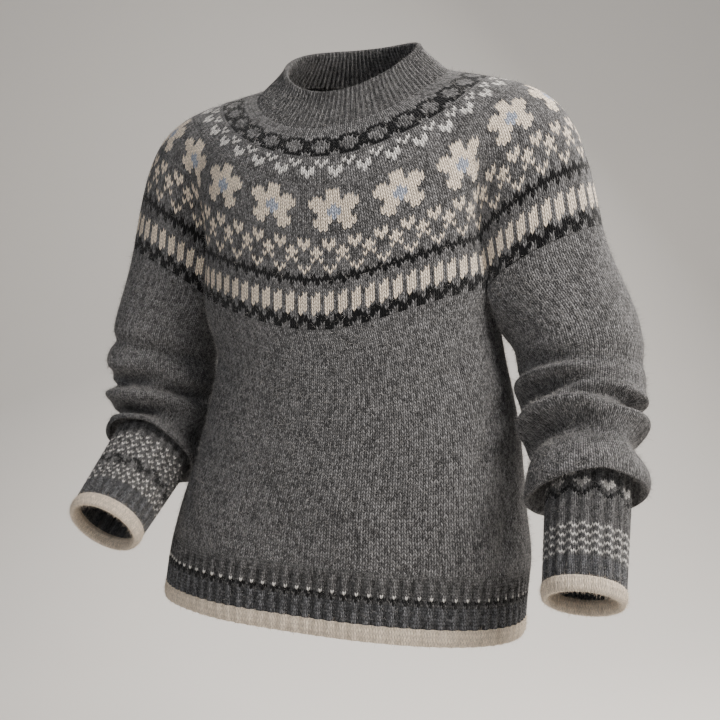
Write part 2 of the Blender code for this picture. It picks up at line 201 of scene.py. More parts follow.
def signed_power(value, exponent):
    return np.sign(value) * np.abs(value) ** exponent


def lengths_along(points):
    return np.concatenate([[0], np.cumsum(np.linalg.norm(np.diff(points, axis=0), axis=1))])


def point(x, y, z):
    return np.stack(np.broadcast_arrays(x, y, z), axis=-1)

# %% [markdown]
# ## Soft creases
# A crease in thick knitting is a soft trough with a low swelling on each side, deepest in its middle.
# Each one is drawn as a line across the cloth, in metres round and down the piece. They are uneven in
# length, depth and spacing, as folds in real wool are, and the hidden sides get some too.

# %% Crease helper
Line = namedtuple("Line", "start end sag depth width")


def creased(lines, around, down):
    """How far the cloth sinks in: positive in the troughs, a little negative beside them."""
    sunk = np.zeros(np.broadcast(around, down).shape)
    for line in lines:
        (a0, d0), (a1, d1) = line.start, line.end
        along_a, along_d = a1 - a0, d1 - d0
        length = math.hypot(along_a, along_d)
        share = ((around - a0) * along_a + (down - d0) * along_d) / length**2
        inside = np.clip(share, 0, 1)
        away = (down - d0) * along_a / length - (around - a0) * along_d / length
        away = away - line.sag * 4 * inside * (1 - inside)
        beyond = (share - inside) * length
        fade = np.sin(np.pi * np.clip(inside * 0.84 + 0.08, 0, 1)) ** 0.8
        fade = fade * np.exp(-((beyond / (1.5 * line.width)) ** 2))
        trough = np.exp(-((away / line.width) ** 2))
        ridges = np.exp(-(((np.abs(away) - 2.1 * line.width) / (1.2 * line.width)) ** 2))
        sunk = sunk + line.depth * fade * (trough - 0.38 * ridges)
    return sunk

# %% [markdown]
# ## The torso's surface
# The torso is a stack of rounded-square sections. A place from -1 to 1 runs across the front or the
# back between the side seams.

# %% Torso surface
def section_angle(place):
    angles = np.linspace(0, np.pi / 2, 400)
    x = TORSO[0].half_width * signed_power(np.sin(angles), 2 / SQUARENESS)
    y = TORSO[0].front * signed_power(np.cos(angles), 2 / SQUARENESS)
    along = lengths_along(point(x, y, 0))
    return np.sign(place) * np.interp(np.abs(place), along / along[-1], angles)


TORSO_CREASES = {
    "front": (
        ((0.190, -0.300), (0.120, -0.352), 0.004, 0.0035, 0.010),
        ((-0.200, -0.310), (-0.135, -0.345), 0.004, 0.0030, 0.009),
        ((0.205, -0.365), (0.165, -0.470), -0.004, 0.0035, 0.010),
        ((-0.205, -0.440), (-0.150, -0.520), 0.004, 0.0040, 0.010),
        ((-0.235, -0.385), (-0.165, -0.425), 0.003, 0.0025, 0.009),
        ((0.215, -0.500), (0.180, -0.560), 0.002, 0.0025, 0.009),
        ((-0.060, -0.470), (-0.095, -0.545), 0.003, 0.0016, 0.012),
        ((0.070, -0.420), (0.105, -0.530), -0.003, 0.0018, 0.013),
    ),
    "back": (
        ((0.185, -0.300), (0.110, -0.360), 0.005, 0.0040, 0.011),
        ((-0.190, -0.305), (-0.120, -0.372), 0.004, 0.0035, 0.010),
        ((-0.080, -0.400), (0.060, -0.425), 0.012, 0.0035, 0.012),
        ((0.030, -0.455), (0.150, -0.440), 0.010, 0.0030, 0.011),
        ((-0.170, -0.460), (-0.060, -0.490), 0.010, 0.0030, 0.012),
        ((0.190, -0.390), (0.160, -0.500), -0.004, 0.0040, 0.011),
    ),
}
TORSO_CREASES = {side: [Line(*row) for row in rows] for side, rows in TORSO_CREASES.items()}


def torso(half, place, z):
    """Points on the torso's front or back, at places from -1 to 1 across it and heights z."""
    rows = TORSO[::-1]
    heights = [row.z for row in rows]
    width = through(heights, [row.half_width for row in rows], z)
    depth = through(heights, [getattr(row, half) for row in rows], z)
    sway = through(heights, [row.sway for row in rows], z)
    angle = section_angle(place)
    x = signed_power(np.sin(angle), 2 / SQUARENESS)
    y = HALF[half] * signed_power(np.cos(angle), 2 / SQUARENESS)
    out = unit(point(x * depth, y * width, 0))
    fold = 0
    for row in TORSO_FOLDS:
        if row.half == half:
            across = np.exp(-(((place - row.place) / row.width) ** 2))
            middle, reach = (row.top + row.bottom) / 2, (row.top - row.bottom) / 2
            fold = fold + row.depth * across * np.clip(1 - ((z - middle) / reach) ** 2, 0, 1) ** 2
    clear_of_seams = ease((1 - np.abs(place)) / 0.12) * ease((-0.285 - z) / 0.03)
    fold = fold - creased(TORSO_CREASES[half], place * SPAN, z) * clear_of_seams
    return point(x * width + sway, y * depth, z) + out * np.asarray(fold)[..., None]


def torso_top(half, place):
    """The height of the torso's upper edge: along the yoke, then down round the underarm."""
    low = FRONT_LOW if half == "front" else BACK_LOW
    towards_fold = np.abs(place) / FOLD_PLACE
    along_yoke = low + (FOLD_LOW - low) * ease(towards_fold * 0.85) / ease(0.85)
    round_arm = np.sin(np.pi / 2 * np.clip((np.abs(place) - FOLD_PLACE) / (1 - FOLD_PLACE), 0, 1))
    return np.where(towards_fold <= 1, along_yoke, FOLD_LOW + (UNDERARM_LOW - FOLD_LOW) * round_arm)


def hem_level(z, x):
    return z + HEM_TILT * x

# %% [markdown]
# ## The neck and yoke surfaces
# The yoke is one round shawl of cloth. Each of its four arcs leaves the neck at its own slope, and
# bends down to the torso or over an arm. A hollow runs up from each end of the underarms.

# %% Neck and yoke surfaces
def neck_loop(loop, angle):
    x = loop.half_width * np.cos(angle)
    y = loop.half_depth * np.sin(angle)
    return point(x, y, loop.height + loop.slope * y + loop.side_lift * np.cos(angle) ** 2)


def neckband_surface(angle, rise):
    base, rim = neck_loop(NECK_BASE, angle), neck_loop(NECK_RIM, angle)
    inwards = 1 - (1 - rise) ** 1.3
    mixed = base + (rim - base) * inwards[..., None]
    mixed[..., 2] = base[..., 2] + (rim[..., 2] - base[..., 2]) * rise
    return mixed


def over_arm(side, place):
    halves = []
    share = np.linspace(0, 1, 200)
    outermost = np.array([SLEEVE_OUT, 0, SLEEVE_LOW])
    for half, sign in HALF.items():
        fold = torso(half, np.array(FOLD_PLACE), torso_top(half, np.array(FOLD_PLACE)))
        leave = outermost + (0, sign * 0.062, 0)
        arrive = fold + (0.034, sign * 0.030, 0)
        curve = bezier(outermost, leave, arrive, fold, share)
        curve[:, 2] = SLEEVE_LOW + (FOLD_LOW - SLEEVE_LOW) * share**1.6
        along = lengths_along(curve)
        at = np.abs(place)
        halves.append([np.interp(at, along / along[-1], curve[:, axis]) for axis in range(3)])
    front, back = (np.stack(half, axis=-1) for half in halves)
    return np.where(np.asarray(place)[..., None] < 0, front, back) * (SIDE[side], 1, 1)


def yoke_edge(arc, place):
    if arc in SIDE:
        return over_arm(arc, place)
    return torso(arc, place * FOLD_PLACE, torso_top(arc, place * FOLD_PLACE))


def groove(arc, place, down, edge):
    past_fold = (1 - np.abs(place)) * (0.14 if arc in SIDE else -0.16)
    across = np.exp(-(((past_fold - GROOVE_LEAN * (1 - down)) / GROOVE_WIDTH) ** 2))
    depth = GROOVE_DEPTH * across * np.sin(np.pi * np.clip((down - 0.25) / 0.75, 0, 1) ** 1.4) ** 2
    inwards = unit(point(0.12 * np.sign(edge[..., 0]) - edge[..., 0], -edge[..., 1], 0))
    return inwards * depth[..., None]


def yoke_surface(arc, place, down):
    """Points at places from -1 to 1 along one arc, and down from the neck (0) to the edge (1)."""
    angle = np.radians(ARCS[arc].middle + ARCS[arc].spread * place)
    across = np.cos(angle) ** 2
    slope, reach = (
        side * across + np.where(np.sin(angle) < 0, front, back) * (1 - across)
        for side, front, back in zip(LEAVING["side"], LEAVING["front"], LEAVING["back"])
    )
    slope = np.radians(slope)
    leaving = point(np.cos(angle) * np.cos(slope), np.sin(angle) * np.cos(slope), -np.sin(slope))
    over = 1 - place**2 if arc in SIDE else 0 * place
    arriving = unit(point(0.20 * over * SIDE.get(arc, 0), 0, -1))
    start, end = neck_loop(NECK_BASE, angle), yoke_edge(arc, place)
    handle = (0.110 + 0.028 * over)[..., None]
    surface = bezier(start, start + leaving * reach[..., None], end - arriving * handle, end, down)
    return surface + groove(arc, place, down, end)

# %% [markdown]
# ## The sleeves' and cuffs' surfaces
# A sleeve is a tube round its arm's curve, bunched above the cuff. Its last turn hangs over the cuff
# as a soft roll, lower on the body's side, and then turns under and back up to the cuff's top.

# %% Sleeve creases and rolls
ROUND, LONG = 0.070, 0.260  # metres for a radian round the arm, and for the whole length of it


def arm_line(turn0, along0, turn1, along1, sag, depth, width):
    start = (math.radians(turn0) * ROUND, along0 * LONG)
    return Line(start, (math.radians(turn1) * ROUND, along1 * LONG), sag, depth, width)


ARM_CREASES = {
    "left": (
        (-178, 0.700, -80, 0.655, 0.004, 0.0208, 0.0095),
        (-62, 0.790, 30, 0.710, 0.003, 0.0160, 0.0090),
        (-176, 0.850, -62, 0.885, -0.004, 0.0192, 0.0090),
        (-40, 0.905, 36, 0.872, 0.002, 0.0060, 0.0065),
        (-150, 0.520, -70, 0.490, 0.004, 0.0048, 0.0134),
        (52, 0.600, 150, 0.660, 0.006, 0.0144, 0.0101),
        (70, 0.800, 172, 0.780, 0.006, 0.0160, 0.0095),
        (20, 0.450, 95, 0.500, 0.005, 0.0056, 0.0134),
    ),
    "right": (
        (-28, 0.580, -120, 0.650, -0.006, 0.0160, 0.0095),
        (-112, 0.700, -190, 0.710, -0.004, 0.0128, 0.0095),
        (-30, 0.775, -130, 0.850, -0.006, 0.0168, 0.0090),
        (-118, 0.905, -196, 0.905, -0.004, 0.0080, 0.0075),
        (38, 0.600, 132, 0.690, 0.006, 0.0152, 0.0101),
        (56, 0.820, 160, 0.850, 0.005, 0.0152, 0.0090),
        (-160, 0.480, -90, 0.450, 0.004, 0.0056, 0.0134),
    ),
}
ARM_CREASES = {side: [arm_line(*row) for row in rows] for side, rows in ARM_CREASES.items()}
Roll = namedtuple("Roll", "hang hang_inside peak swell")
ROLLS = {"left": Roll(0.033, 0.014, 0.955, 0.006), "right": Roll(0.013, 0.010, 0.955, 0.005)}

# %% Sleeve surface
def arm_frame(side, along):
    rows = ARMS[side]
    middles = np.array([(row.out, row.back, row.up) for row in rows])
    keys = lengths_along(middles) / lengths_along(middles)[-1]
    middle = through(keys, middles, along)
    onwards = unit(through(keys, middles, along + 0.01) - through(keys, middles, along - 0.01))
    outwards = unit(np.array([1.0, 0, 0]) - onwards * onwards[..., :1])
    backwards = np.cross(outwards, onwards)
    across = through(keys, [row.across for row in rows], along)
    swing = through(keys, [row.along for row in rows], along)
    return middle, outwards, backwards, onwards, across[..., None], swing[..., None]


def armhole(side, turn):
    over = over_arm(side, np.clip(turn / FOLD_TURN, -1, 1)) * (SIDE[side], 1, 1)
    share = np.clip((np.abs(turn) - FOLD_TURN) / (np.pi - FOLD_TURN), 0, 1)
    place = FOLD_PLACE + (1 - FOLD_PLACE) * share
    front, back = (torso(half, SIDE[side] * place, torso_top(half, place)) for half in HALF)
    under = np.where(turn[..., None] < 0, front, back) * (SIDE[side], 1, 1)
    clear = 2 * SEAM * ease(1 - np.cos(turn))
    return np.where(share[..., None] > 0, under, over) + point(clear, 0, 0)


def crease_depth(row, turn, along):
    at = row.at + row.drop * (1 - np.cos(turn)) / 2
    facing = (1 + np.cos(turn - np.radians(row.turn))) / 2
    strength = row.fade + (1 - row.fade) * facing
    return row.depth * strength * np.exp(-(((along - at) / row.length) ** 2))


def roll_over(side, turn, along):
    """How far the last roll hangs over the cuff, and how far it swells out."""
    roll = ROLLS[side]
    rising = ease((along - 0.86) / (roll.peak - 0.86))
    falling = 1 - ease((along - roll.peak) / (1 - roll.peak))
    inside = np.clip(np.cos(turn - np.radians(-160)), 0, 1)
    hang = (roll.hang + roll.hang_inside * inside) * np.where(along < roll.peak, rising, falling)
    return hang, roll.swell * np.exp(-(((along - 0.945) / 0.032) ** 2))


def sleeve_surface(side, turn, along):
    """Points round the arm (0 outwards, positive to the back) and along it from the yoke."""
    cos, sin = np.cos(turn)[..., None], np.sin(turn)[..., None]

    def tube(at):
        middle, outwards, backwards, onwards, across, swing = arm_frame(side, at)
        return middle + outwards * cos * across + backwards * sin * swing, onwards

    tubed, _ = tube(np.maximum(along, ARMHOLE_BLEND))
    joined, onwards = tube(np.full_like(along, ARMHOLE_BLEND))
    top = armhole(side, turn)
    handle = np.linalg.norm(joined - top, axis=-1, keepdims=True) * 0.36
    leaving = unit(point(0.04 + 0.16 * np.clip(np.cos(turn), 0, 1), 0, -1))
    leave, arrive = top + leaving * handle, joined - onwards * handle
    blended = bezier(top, leave, arrive, joined, along / ARMHOLE_BLEND)
    surface = np.where(along[..., None] < ARMHOLE_BLEND, blended, tubed)
    _, outwards, backwards, _, _, _ = arm_frame(side, along)
    sunk = sum(crease_depth(row, turn, along) for row in CREASES[side])
    for whole in (-2 * np.pi, 0, 2 * np.pi):
        more = creased(ARM_CREASES[side], (turn + whole) * ROUND, along * LONG)
        sunk = sunk + more * ease((1 - along) / 0.03)
    hang, swell = roll_over(side, turn, along)
    row = CUFFS[side]
    axis = unit(np.subtract(row.end, row.top))
    surface = surface + axis * hang[..., None]
    surface = surface - (outwards * cos + backwards * sin) * (sunk - swell)[..., None]
    return surface * (SIDE[side], 1, 1)

# %% Cuff surface
def cuff_surface(side, turn, down):
    row = CUFFS[side]
    top, end = np.array(row.top), np.array(row.end)
    onwards = unit(end - top)
    outwards = unit(np.array([1.0, 0, 0]) - onwards * onwards[0])
    backwards = np.cross(outwards, onwards)
    radius = (row.top_radius + (row.end_radius - row.top_radius) * down)[..., None]
    ring = outwards * np.cos(turn)[..., None] + backwards * np.sin(turn)[..., None]
    return (top + (end - top) * down[..., None] + ring * radius) * (SIDE[side], 1, 1)

# %% [markdown]
# ## Wools
# The yarns are given as linear colours. The fourth number says how marled the yarn is: heather grey is
# spun from dark and pale fibres and varies a lot, and the dyed colours vary little.

# %% Yarn colours
YARN = {
    ".": (0.130, 0.127, 0.127, 1.00),  # heather grey
    "d": (0.112, 0.113, 0.119, 0.95),  # darker blue-grey of the ribs' ends
    "c": (0.900, 0.765, 0.610, 0.26),  # cream
    "w": (0.760, 0.730, 0.690, 0.26),  # white
    "k": (0.0035, 0.0035, 0.0040, 0.55),  # black
    "b": (0.400, 0.440, 0.530, 0.30),  # pale blue
}

# %% [markdown]
# ## Charts
# A knitter works from charts: one letter is one stitch, a row of letters is one round, and the chart
# is repeated right round the garment. The small bands below are common ones. The flower is drawn
# afresh: five round petals and a pale blue middle.

# %% Small bands
CHAIN = """
.kkkk.
kk..kk
k....k
k....k
kk..kk
.kkkk.
"""
CROWNS = """
w.w...
.w....
...w.w
...www
....w.
"""
SPRIGS = """
c.c...
ccc...
.c..c.
...ccc
....c.
...c.c
......
c.c...
.c....
"""
THIN_ZIGZAG = """
k..
kkk
.k.
"""
BARS = """
.c.
cc.
cc.
cc.
cc.
c..
"""
THICK_ZIGZAG = """
kk..
kkk.
k.kk
..kk
"""

# %% The flower
FLOWER = """
....ccc.......
....ccc.......
.cc.ccc.cc....
ccccccccccc...
cccccbccccc...
.cccbbbccc....
..ccbbbcc.....
..cccbccc.....
.cccc.cccc....
.ccc...ccc....
..cc...cc.....
"""


FLOWER_ROWS = FLOWER.split()
print("flower", len(FLOWER_ROWS), "rounds tall, one for every", len(FLOWER_ROWS[0]), "stitches")

# %% [markdown]
# ## Knitting a piece
# Every piece starts as Blender's plain grid, one square for half a stitch and a round. Its points are
# moved onto the surface, its seams are merged, and it keeps a UV map counted in stitches and rounds,
# which the wool's material reads. Modelling single loops of yarn would take millions of faces. Half
# stitches are enough, because a knitted stitch is a V: the middle of each column of stitches sits
# lower than its edges, so colours meet in small Vs as they do in wool.

# %% Grid helper
def deselect():
    bpy.ops.object.select_all(action="DESELECT")


def select_only(piece):
    deselect()
    bpy.context.view_layer.objects.active = piece
    piece.select_set(True)


def knitted(name, places, wales, courses, yarns, flipped=False):
    """A grid at the places (rounds downwards, columns round), with wales and courses as its UVs."""
    wales, courses = (np.broadcast_to(part, places.shape[:2]) for part in (wales, courses))
    if flipped:
        places, wales, courses, yarns = (a[:, ::-1] for a in (places, wales, courses, yarns))
    rounds, columns = places.shape[:2]
    deselect()
    steps = {"x_subdivisions": columns - 1, "y_subdivisions": rounds - 1}
    bpy.ops.mesh.primitive_grid_add(size=1, **steps)
    piece = bpy.context.object
    piece.name = piece.data.name = name
    mesh = piece.data
    mesh.vertices.foreach_set("co", places[::-1].reshape(-1))
    corners = np.empty(len(mesh.loops), np.int32)
    mesh.loops.foreach_get("vertex_index", corners)
    stitches = np.stack([wales, courses], axis=-1)[::-1].reshape(-1, 2)
    mesh.uv_layers[0].name = "stitches"
    mesh.uv_layers[0].data.foreach_set("uv", stitches[corners].astype(np.float32).reshape(-1))
    wool = mesh.color_attributes.new("wool", "FLOAT_COLOR", "CORNER")
    colours = np.repeat(yarns[::-1].reshape(-1, 4), 4, axis=0)
    wool.data.foreach_set("color", colours.astype(np.float32).reshape(-1))
    mesh.update()
    return piece


def merge_seams(piece):
    select_only(piece)
    bpy.ops.object.mode_set(mode="EDIT")
    bpy.ops.mesh.select_all(action="SELECT")
    bpy.ops.mesh.remove_doubles(threshold=1e-6)
    bpy.ops.object.mode_set(mode="OBJECT")


def smooth(piece, degrees=50):
    select_only(piece)
    bpy.ops.object.shade_smooth_by_angle(angle=math.radians(degrees))


def count_open_edges(mesh):
    ends = np.empty(len(mesh.loops), np.int32)
    mesh.loops.foreach_get("edge_index", ends)
    return int((np.bincount(ends, minlength=len(mesh.edges)) != 2).sum())


def finish_piece(piece, material, slot, *nodes):
    piece.data.materials.clear()
    piece.data.materials.append(material)
    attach(piece, "root")
    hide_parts(*nodes)
    piece.data.calc_loop_triangles()
    triangles = len(piece.data.loop_triangles)
    print(f"{piece.name}: {triangles} triangles, {count_open_edges(piece.data)} open edges")
    return piece


def finish_walled(piece, material, slot, *nodes):
    """Closes a tube's seam and gives it the wall of the cloth before it is finished."""
    merge_seams(piece)
    wall = piece.modifiers.new("wall", "SOLIDIFY")
    wall.thickness = WALL
    wall.offset = -1
    bpy.ops.object.modifier_apply(modifier="wall")
    smooth(piece)
    return finish_piece(piece, material, slot, *nodes)

# %% [markdown]
# ## The wool's material
# One recipe makes all the wools. It reads the UV map in stitches and rounds, draws the two slanting
# legs of every V as small pillows of yarn with painted shade in the gaps between them, and adds
# fibres, a different tone for each stitch and slow patches over the whole piece. The colour comes from
# the piece's own wool attribute, which on the ribs also carries the purl columns' painted shade. An
# image would be the other way, but a recipe stays sharp at every distance.

# %% Node helper
def new_material(name, roughness, specular):
    material = bpy.data.materials.new(name)
    material.use_nodes = True
    tree = material.node_tree
    shader = tree.nodes["Principled BSDF"]
    shader.inputs["Roughness"].default_value = roughness
    shader.inputs["Specular IOR Level"].default_value = specular
    return material, tree, shader


def maths(tree, operation, first, second=None, third=None):
    node = tree.nodes.new("ShaderNodeMath")
    node.operation = operation
    for socket, value in zip(node.inputs, (first, second, third)):
        if value is None:
            continue
        if isinstance(value, (int, float)):
            socket.default_value = value
        else:
            tree.links.new(value, socket)
    return node.outputs[0]


def swing(tree, value, gain, base):
    """A value that runs from 0 to 1, turned into base plus or minus half the gain."""
    return maths(tree, "MULTIPLY_ADD", maths(tree, "SUBTRACT", value, 0.5), gain, base)


def half_wave(tree, value):
    """A hump from 0 to 1 and back over each whole number."""
    return maths(tree, "SINE", maths(tree, "MULTIPLY", maths(tree, "FRACT", value), math.pi))


def noise(tree, where, scale, detail, roughness=0.6):
    node = tree.nodes.new("ShaderNodeTexNoise")
    tree.links.new(where, node.inputs["Vector"])
    node.inputs["Scale"].default_value = scale
    node.inputs["Detail"].default_value = detail
    node.inputs["Roughness"].default_value = roughness
    return node.outputs["Fac"]

# %% Wool recipe
def wool_material(name, relief_depth=0.0030, gap_shade_strength=1.05):
    material, tree, shader = new_material(name, 0.92, 0.10)
    shader.inputs["Sheen Weight"].default_value = 0.10
    shader.inputs["Sheen Roughness"].default_value = 0.45

    stitches = tree.nodes.new("ShaderNodeUVMap")
    stitches.uv_map = "stitches"
    parts = tree.nodes.new("ShaderNodeSeparateXYZ")
    tree.links.new(stitches.outputs[0], parts.inputs[0])
    wale, course = parts.outputs[0], parts.outputs[1]
    halves = maths(tree, "MULTIPLY", wale, 2.0)
    from_edge = maths(tree, "ABSOLUTE", maths(tree, "SUBTRACT", maths(tree, "FRACT", wale), 0.5))
    slant = maths(tree, "MULTIPLY_ADD", from_edge, -2 * V_DEPTH, V_DEPTH)
    leg = maths(tree, "SUBTRACT", course, slant)
    across = maths(tree, "POWER", half_wave(tree, halves), 0.75)
    lengthwise = maths(tree, "POWER", half_wave(tree, leg), 0.60)
    pillow = maths(tree, "MULTIPLY", across, lengthwise)

    place = tree.nodes.new("ShaderNodeTexCoord").outputs["Object"]
    fibre = noise(tree, place, 780.0, 3.0, 0.75)
    fluff = noise(tree, place, 260.0, 4.0, 0.7)
    patches = noise(tree, place, 16.0, 3.0, 0.55)

    cell = tree.nodes.new("ShaderNodeCombineXYZ")
    tree.links.new(maths(tree, "FLOOR", halves), cell.inputs[0])
    tree.links.new(maths(tree, "FLOOR", leg), cell.inputs[1])
    speck = tree.nodes.new("ShaderNodeTexWhiteNoise")
    speck.noise_dimensions = "2D"
    tree.links.new(cell.outputs[0], speck.inputs["Vector"])

    attribute = tree.nodes.new("ShaderNodeAttribute")
    attribute.attribute_name = "wool"
    marl = attribute.outputs["Alpha"]

    tone = swing(tree, fluff, 2.6, swing(tree, fibre, 4.2, 0.0))
    tone = maths(tree, "MULTIPLY", swing(tree, speck.outputs["Value"], 1.1, tone), marl)
    tone = swing(tree, patches, 0.35, tone)
    bright = maths(tree, "MAXIMUM", maths(tree, "ADD", tone, 1.0), 0.25)
    # Painted shade: the colour is darkened in the gaps between the strands of each V, where shadow
    # falls, and lifted a little on the strands' middles.
    shade = maths(tree, "MULTIPLY_ADD", pillow, gap_shade_strength, 1.0 - 0.62 * gap_shade_strength)
    bright = maths(tree, "MULTIPLY", bright, shade)

    scaled = tree.nodes.new("ShaderNodeVectorMath")
    scaled.operation = "SCALE"
    tree.links.new(attribute.outputs["Color"], scaled.inputs[0])
    tree.links.new(bright, scaled.inputs["Scale"])
    tree.links.new(scaled.outputs[0], shader.inputs["Base Color"])

    height = maths(tree, "MULTIPLY_ADD", maths(tree, "ADD", fibre, fluff), 0.22, pillow)
    bump = tree.nodes.new("ShaderNodeBump")
    bump.inputs["Strength"].default_value = 0.85
    bump.inputs["Distance"].default_value = relief_depth
    tree.links.new(height, bump.inputs["Height"])
    tree.links.new(bump.outputs[0], shader.inputs["Normal"])
    return material


heather_wool = wool_material("heather_wool")
yoke_wool = wool_material("yoke_wool")
rib_wool = wool_material("rib_wool")
cream_wool = wool_material("cream_wool", relief_depth=0.0026, gap_shade_strength=0.60)
print("materials", [m.name for m in (heather_wool, yoke_wool, rib_wool, cream_wool)])

# %% [markdown]
# ## Reading a chart onto a piece
# Two grid columns make one stitch. The first and last rounds are kept level, so that the pieces meet.

# %% Stitch grids
def yarn_grid(letters):
    """The colours of a grid's squares, two squares for each letter."""
    return np.repeat([[YARN[letter] for letter in row] for row in letters], 2, axis=1)


def plain_yarn(rounds, columns, letter="."):
    return np.broadcast_to(YARN[letter], (rounds, columns, 4))


def repeat_chart(chart, count, shift=0):
    """A chart's rows repeated to a number of stitches."""
    rows = []
    for row in chart.split():
        times = -(-count // len(row)) + 1
        rows.append((row * times)[shift % len(row):][:count])
    return rows


def stitch_levels(first, last, count, steps):
    """Levels in rounds for a grid of half stitches. Odd columns, the middles of the Vs, sit lower."""
    lowered = V_DEPTH * (np.arange(2 * count + 1) % 2)
    levels = np.linspace(first, last, steps + 1)[:, None] + lowered - V_DEPTH / 2
    levels[0], levels[-1] = first, last
    return levels

# %% [markdown]
# ## The yoke
# The real yoke is knitted in rounds, with fewer stitches in the rounds nearer the neck.
# So it is made of four bands of grid, each with its own number of stitches, and the rounds between two
# bands are bridged. The inner side needs no single stitches, so it is a coarser grid. Bridging it to
# the outer side at the neck and at the lower edge closes the wall.

# %% Places round the yoke
ARC_PARTS = {"front": 106, "left": 89, "back": 100, "right": 89}  # each arc's share of the ring
ARC_ENDS = {"front": (-1, 1), "left": (-1, 1), "back": (1, -1), "right": (1, -1)}
ALL_PARTS = sum(ARC_PARTS.values())
LIFT, LIFT_TURN, LIFT_END = 0.15, 76, 0.85  # how much, turned by how many degrees, and down to where


def lifted(down, angle):
    """At the shoulders the rounds of the upper bands lie nearer the neck than they do in front."""
    sideways = np.sin(np.radians(angle + LIFT_TURN)) ** 2
    return down - LIFT * sideways * np.sin(np.pi * np.clip(down / LIFT_END, 0, 1))


def yoke_ring(share, down):
    """Points at shares (0 to 1) of the way round, starting at the front fold of the right arm."""
    at = share * ALL_PARTS
    points = np.zeros(np.broadcast(share, down).shape + (3,))
    first = 0
    for arc, parts in ARC_PARTS.items():
        start, end = ARC_ENDS[arc]
        inside = (at >= first) & ((at < first + parts) | (arc == "right"))
        place = start + (end - start) * np.clip((at - first) / parts, 0, 1)
        angle = ARCS[arc].middle + ARCS[arc].spread * place
        place = np.broadcast_to(place, points.shape[:-1])
        points = np.where(inside[..., None], yoke_surface(arc, place, lifted(down, angle)), points)
        first += parts
    points[..., -1, :] = points[..., 0, :]
    return points


def way_round(points):
    """Directions along the rounds of a grid that closes on itself."""
    ways = np.gradient(points, axis=1)
    ways[:, 0] = ways[:, -1] = points[:, 1] - points[:, -2]
    return ways


def inward(points):
    """Unit vectors into the cloth from a closed grid, rounds downwards and columns round."""
    return -unit(np.cross(np.gradient(points, axis=0), way_round(points)))

# %% Yoke bands
YOKE_ROUNDS = 57
YOKE_STITCHES = (168, 198, 238, 288)  # of the four bands, from the neck down
YOKE_ORDER = ((4, CHAIN), (1, CROWNS, 2), (1, FLOWER, 1),  # a number is so many plain rounds
              (1, SPRIGS, THIN_ZIGZAG, 2, BARS, THICK_ZIGZAG))
BETWEEN = 1 / 3  # rounds between two bands
FLOWER_MIDDLE = 5.5  # stitches from the chart's left
FLOWER_LEVEL = 25  # rounds from the neck
FIRST_FLOWER = 0.1587  # where one flower's middle comes, as a share of the ring
Band = namedtuple("Band", "stitches first last letters")


def front_share(levels):
    """Rounds are evenly spaced down the centre front."""
    samples = np.linspace(0, 1, 200)
    down_front = lengths_along(yoke_surface("front", np.zeros(200), samples))
    return np.interp(np.asarray(levels) / YOKE_ROUNDS, down_front / down_front[-1], samples)


def even_shares(stitches, level):
    """Shares of the ring for two columns a stitch, evenly spaced round the yoke at one level."""
    samples = np.linspace(0, 1, 1601)
    ring = yoke_ring(samples[None, :], np.full((1, 1601), front_share(level)))[0]
    lengths = lengths_along(ring)
    return np.interp(np.linspace(0, 1, 2 * stitches + 1), lengths / lengths[-1], samples)


def yoke_bands():
    """The yoke's bands from the neck down, each a run of rounds with its chart."""
    round_flowers = YOKE_STITCHES[2]
    shares = even_shares(round_flowers, FLOWER_LEVEL)
    across = np.interp(FIRST_FLOWER, shares, np.arange(2 * round_flowers + 1) / 2)
    shift = round(FLOWER_MIDDLE - across) % len(FLOWER_ROWS[0])
    bands, first = [], 0
    for stitches, order in zip(YOKE_STITCHES, YOKE_ORDER):
        letters = []
        for item in order:
            plain = isinstance(item, int)
            start = shift if item is FLOWER else 0
            letters += ["." * stitches] * item if plain else repeat_chart(item, stitches, start)
        bands.append(Band(stitches, first, first + len(letters), letters))
        first += len(letters) + BETWEEN
    print("yoke rounds", round(first - BETWEEN, 3), "of", YOKE_ROUNDS)
    return bands


def build_band(number, band):
    share = even_shares(band.stitches, (band.first + band.last) / 2)
    levels = stitch_levels(band.first, band.last, band.stitches, len(band.letters))
    points = yoke_ring(np.broadcast_to(share, levels.shape), front_share(levels))
    wales = np.arange(2 * band.stitches + 1) / 2
    yarns = yarn_grid(band.letters)
    return knitted(f"yoke_band_{number}", points, wales, levels + V_DEPTH / 2, yarns)

# %% Yoke assembly
def tag_rims(piece, columns, first_tag, last_tag):
    """Marks a band's first and last rounds, so that they are found again in the joined piece."""
    tags = np.zeros(len(piece.data.vertices), np.int32)
    tags[:columns] = last_tag
    tags[-columns:] = first_tag
    piece.data.attributes.new("rim", "INT", "POINT").data.foreach_set("value", tags)


def bridge_rims(piece, one, other):
    """Bridges two marked loops of a piece."""
    select_only(piece)
    bpy.ops.object.mode_set(mode="EDIT")
    bpy.ops.mesh.select_mode(type="EDGE")
    bpy.ops.mesh.select_all(action="DESELECT")
    bpy.ops.object.mode_set(mode="OBJECT")
    mesh = piece.data
    tags = np.empty(len(mesh.vertices), np.int32)
    mesh.attributes["rim"].data.foreach_get("value", tags)
    ends = np.empty(2 * len(mesh.edges), np.int32)
    mesh.edges.foreach_get("vertices", ends)
    tagged = tags[ends.reshape(-1, 2)]
    chosen = (tagged == one).all(axis=1) | (tagged == other).all(axis=1)
    mesh.edges.foreach_set("select", chosen)
    before = len(mesh.polygons)
    bpy.ops.object.mode_set(mode="EDIT")
    bpy.ops.mesh.bridge_edge_loops()
    bpy.ops.object.mode_set(mode="OBJECT")
    print("bridged", int(chosen.sum()), "edges with", len(piece.data.polygons) - before, "faces")


